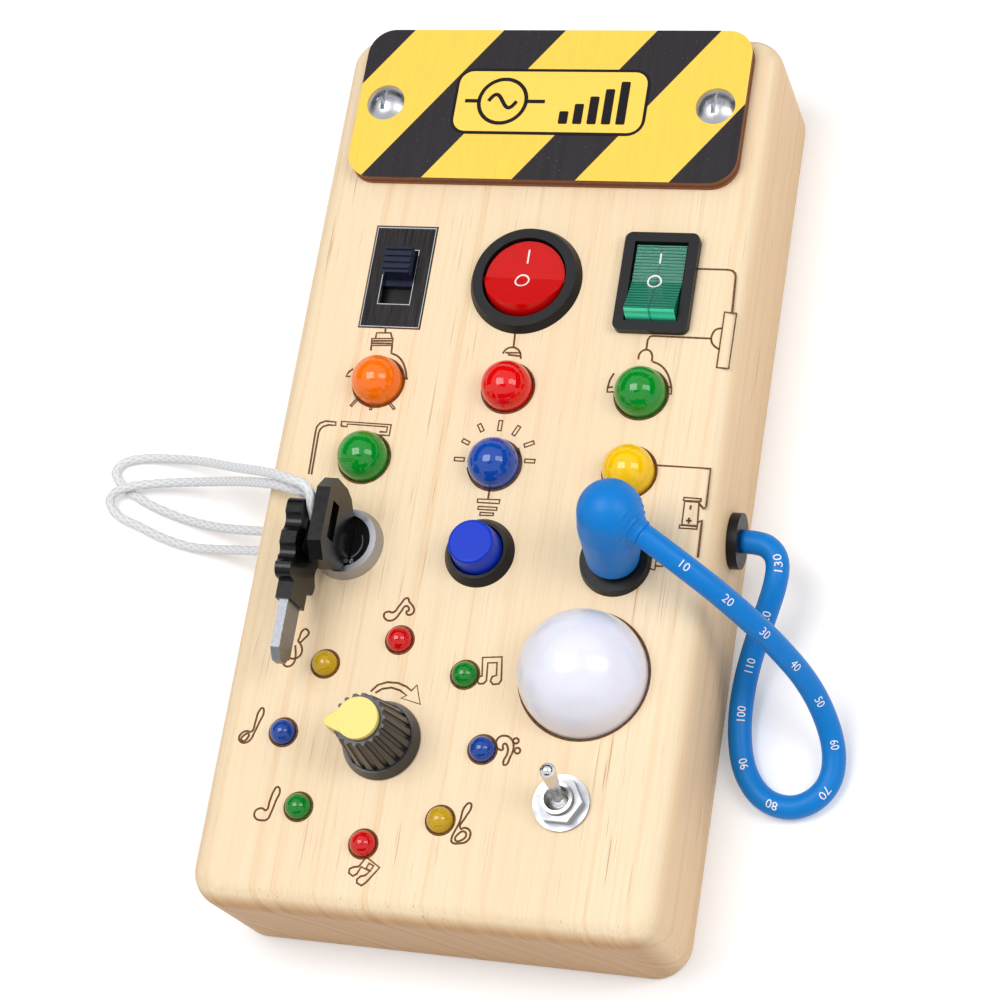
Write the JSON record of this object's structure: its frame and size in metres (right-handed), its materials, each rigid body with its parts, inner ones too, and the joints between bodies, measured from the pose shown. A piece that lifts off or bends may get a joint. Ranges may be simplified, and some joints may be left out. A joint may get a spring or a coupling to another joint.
{
  "type": "wooden busy board",
  "caption": "Hand-sized pine busy board with switches, button, key lock, toggle, dial, coloured lamps and a patch hose.",
  "frame": {"origin": "centre of the case's flat back, on the surface that it lies on", "axes": "+Z out of the front face, +Y up the board towards the striped plate, +X to the right"},
  "size_m": [0.1655, 0.186, 0.0532],
  "materials": {
    "pine": "satin",
    "ply": "satin",
    "striped_ply": "printed",
    "zinc_steel": "satin",
    "bright_steel": "polished",
    "chrome": "polished",
    "black_plastic": "satin",
    "navy_plastic": "matte",
    "grey_plastic": "matte",
    "white_plastic": "matte",
    "cell_sleeve": "gloss",
    "red_clear": "clear gloss",
    "green_clear": "clear gloss",
    "lamp_orange_plastic": "gloss",
    "lamp_red_plastic": "gloss",
    "lamp_green_plastic": "gloss",
    "lamp_blue_plastic": "gloss",
    "lamp_yellow_plastic": "gloss",
    "blue_plastic": "gloss",
    "blue_rubber": "satin",
    "black_rubber": "matte",
    "milky_plastic": "milky gloss",
    "circuit_green": "satin",
    "yellow_plastic": "satin",
    "white_braid": "braided",
    "wire_red": "satin"
  },
  "bodies": {
    "board": {"wooden_case": "pine", "back_cover": "ply", "battery_door": "ply", "back_cover_screws": "zinc_steel", "battery_holder": "black_plastic", "batteries": "cell_sleeve", "battery_contacts": "zinc_steel", "hazard_plate": "striped_ply", "plate_screws": "bright_steel", "slide_switch_plate": "bright_steel", "slide_switch_body": "black_plastic", "round_rocker_housing": "black_plastic", "square_rocker_housing": "black_plastic", "lamp_orange": "lamp_orange_plastic", "lamp_red": "lamp_red_plastic", "lamp_blue": "lamp_blue_plastic", "lamp_yellow": "lamp_yellow_plastic", "lamps_green": "lamp_green_plastic", "ring_lamps_blue": "lamp_blue_plastic", "ring_lamps_green": "lamp_green_plastic", "ring_lamps_red": "lamp_red_plastic", "ring_lamps_yellow": "lamp_yellow_plastic", "main_circuit_board": "circuit_green", "ring_circuit_board": "circuit_green", "board_spacers": "white_plastic", "board_screws": "zinc_steel", "panel_nuts": "zinc_steel", "lock_body": "chrome", "push_button_bezel": "black_plastic", "push_button_spring": "bright_steel", "hose_socket": "black_plastic", "hose_grommet": "black_rubber", "hose": "blue_rubber", "dome_lens": "milky_plastic", "dome_holder": "white_plastic", "dome_lamp": "white_plastic", "toggle_body": "bright_steel", "toggle_washer": "bright_steel", "toggle_nut": "bright_steel", "pot_body": "zinc_steel", "pot_nut": "zinc_steel", "key_cord": "white_braid", "wiring": "wire_red"},
    "slider": {"slide_switch_knob": "navy_plastic"},
    "round_rocker": {"round_rocker_button": "red_clear"},
    "square_rocker": {"square_rocker_button": "green_clear"},
    "key": {"lock_rotor": "black_plastic", "lock_key_blade": "bright_steel", "lock_key_head": "black_plastic", "spare_key_head": "black_plastic", "spare_key_blade": "zinc_steel", "key_cord_loop": "white_braid"},
    "push_button": {"push_button_cap": "blue_plastic"},
    "plug": {"plug_boot": "blue_rubber", "plug_pin": "bright_steel"},
    "toggle": {"toggle_lever": "bright_steel"},
    "dial": {"pot_shaft": "zinc_steel", "knob": "grey_plastic", "knob_cap": "yellow_plastic"}
  },
  "joints": [
    {"name": "slide_switch_travel", "type": "slide", "parent": "board", "child": "slider", "axis": [0, 1, 0], "range_m": [-0.0054, 0]},
    {"name": "round_rocker_tilt", "type": "hinge", "parent": "board", "child": "round_rocker", "pos_m": [0.0009, 0.0368, 0.03], "axis": [1, 0, 0], "range_deg": [0, 24]},
    {"name": "square_rocker_tilt", "type": "hinge", "parent": "board", "child": "square_rocker", "pos_m": [0.0279, 0.0368, 0.03], "axis": [1, 0, 0], "range_deg": [0, 24]},
    {"name": "key_turn", "type": "hinge", "parent": "board", "child": "key", "pos_m": [-0.0261, -0.0207, 0.03], "axis": [0, 0, 1], "range_deg": [-90, 0]},
    {"name": "push_button_press", "type": "slide", "parent": "board", "child": "push_button", "axis": [0, 0, -1], "range_m": [0, 0.0025], "stiffness_N_per_m": 300, "springref_m": -0.001, "deforming": ["push_button_spring"]},
    {"name": "plug_pull", "type": "slide", "parent": "board", "child": "plug", "axis": [0, 0, 1], "range_m": [0, 0.012]},
    {"name": "toggle_throw", "type": "hinge", "parent": "board", "child": "toggle", "pos_m": [0.0248, -0.0681, 0.0314], "axis": [1, 0, 0], "range_deg": [0, 30]},
    {"name": "dial_turn", "type": "hinge", "parent": "board", "child": "dial", "pos_m": [-0.012, -0.0592, 0.03], "axis": [0, 0, 1], "range_deg": [-250, 50]}
  ]
}
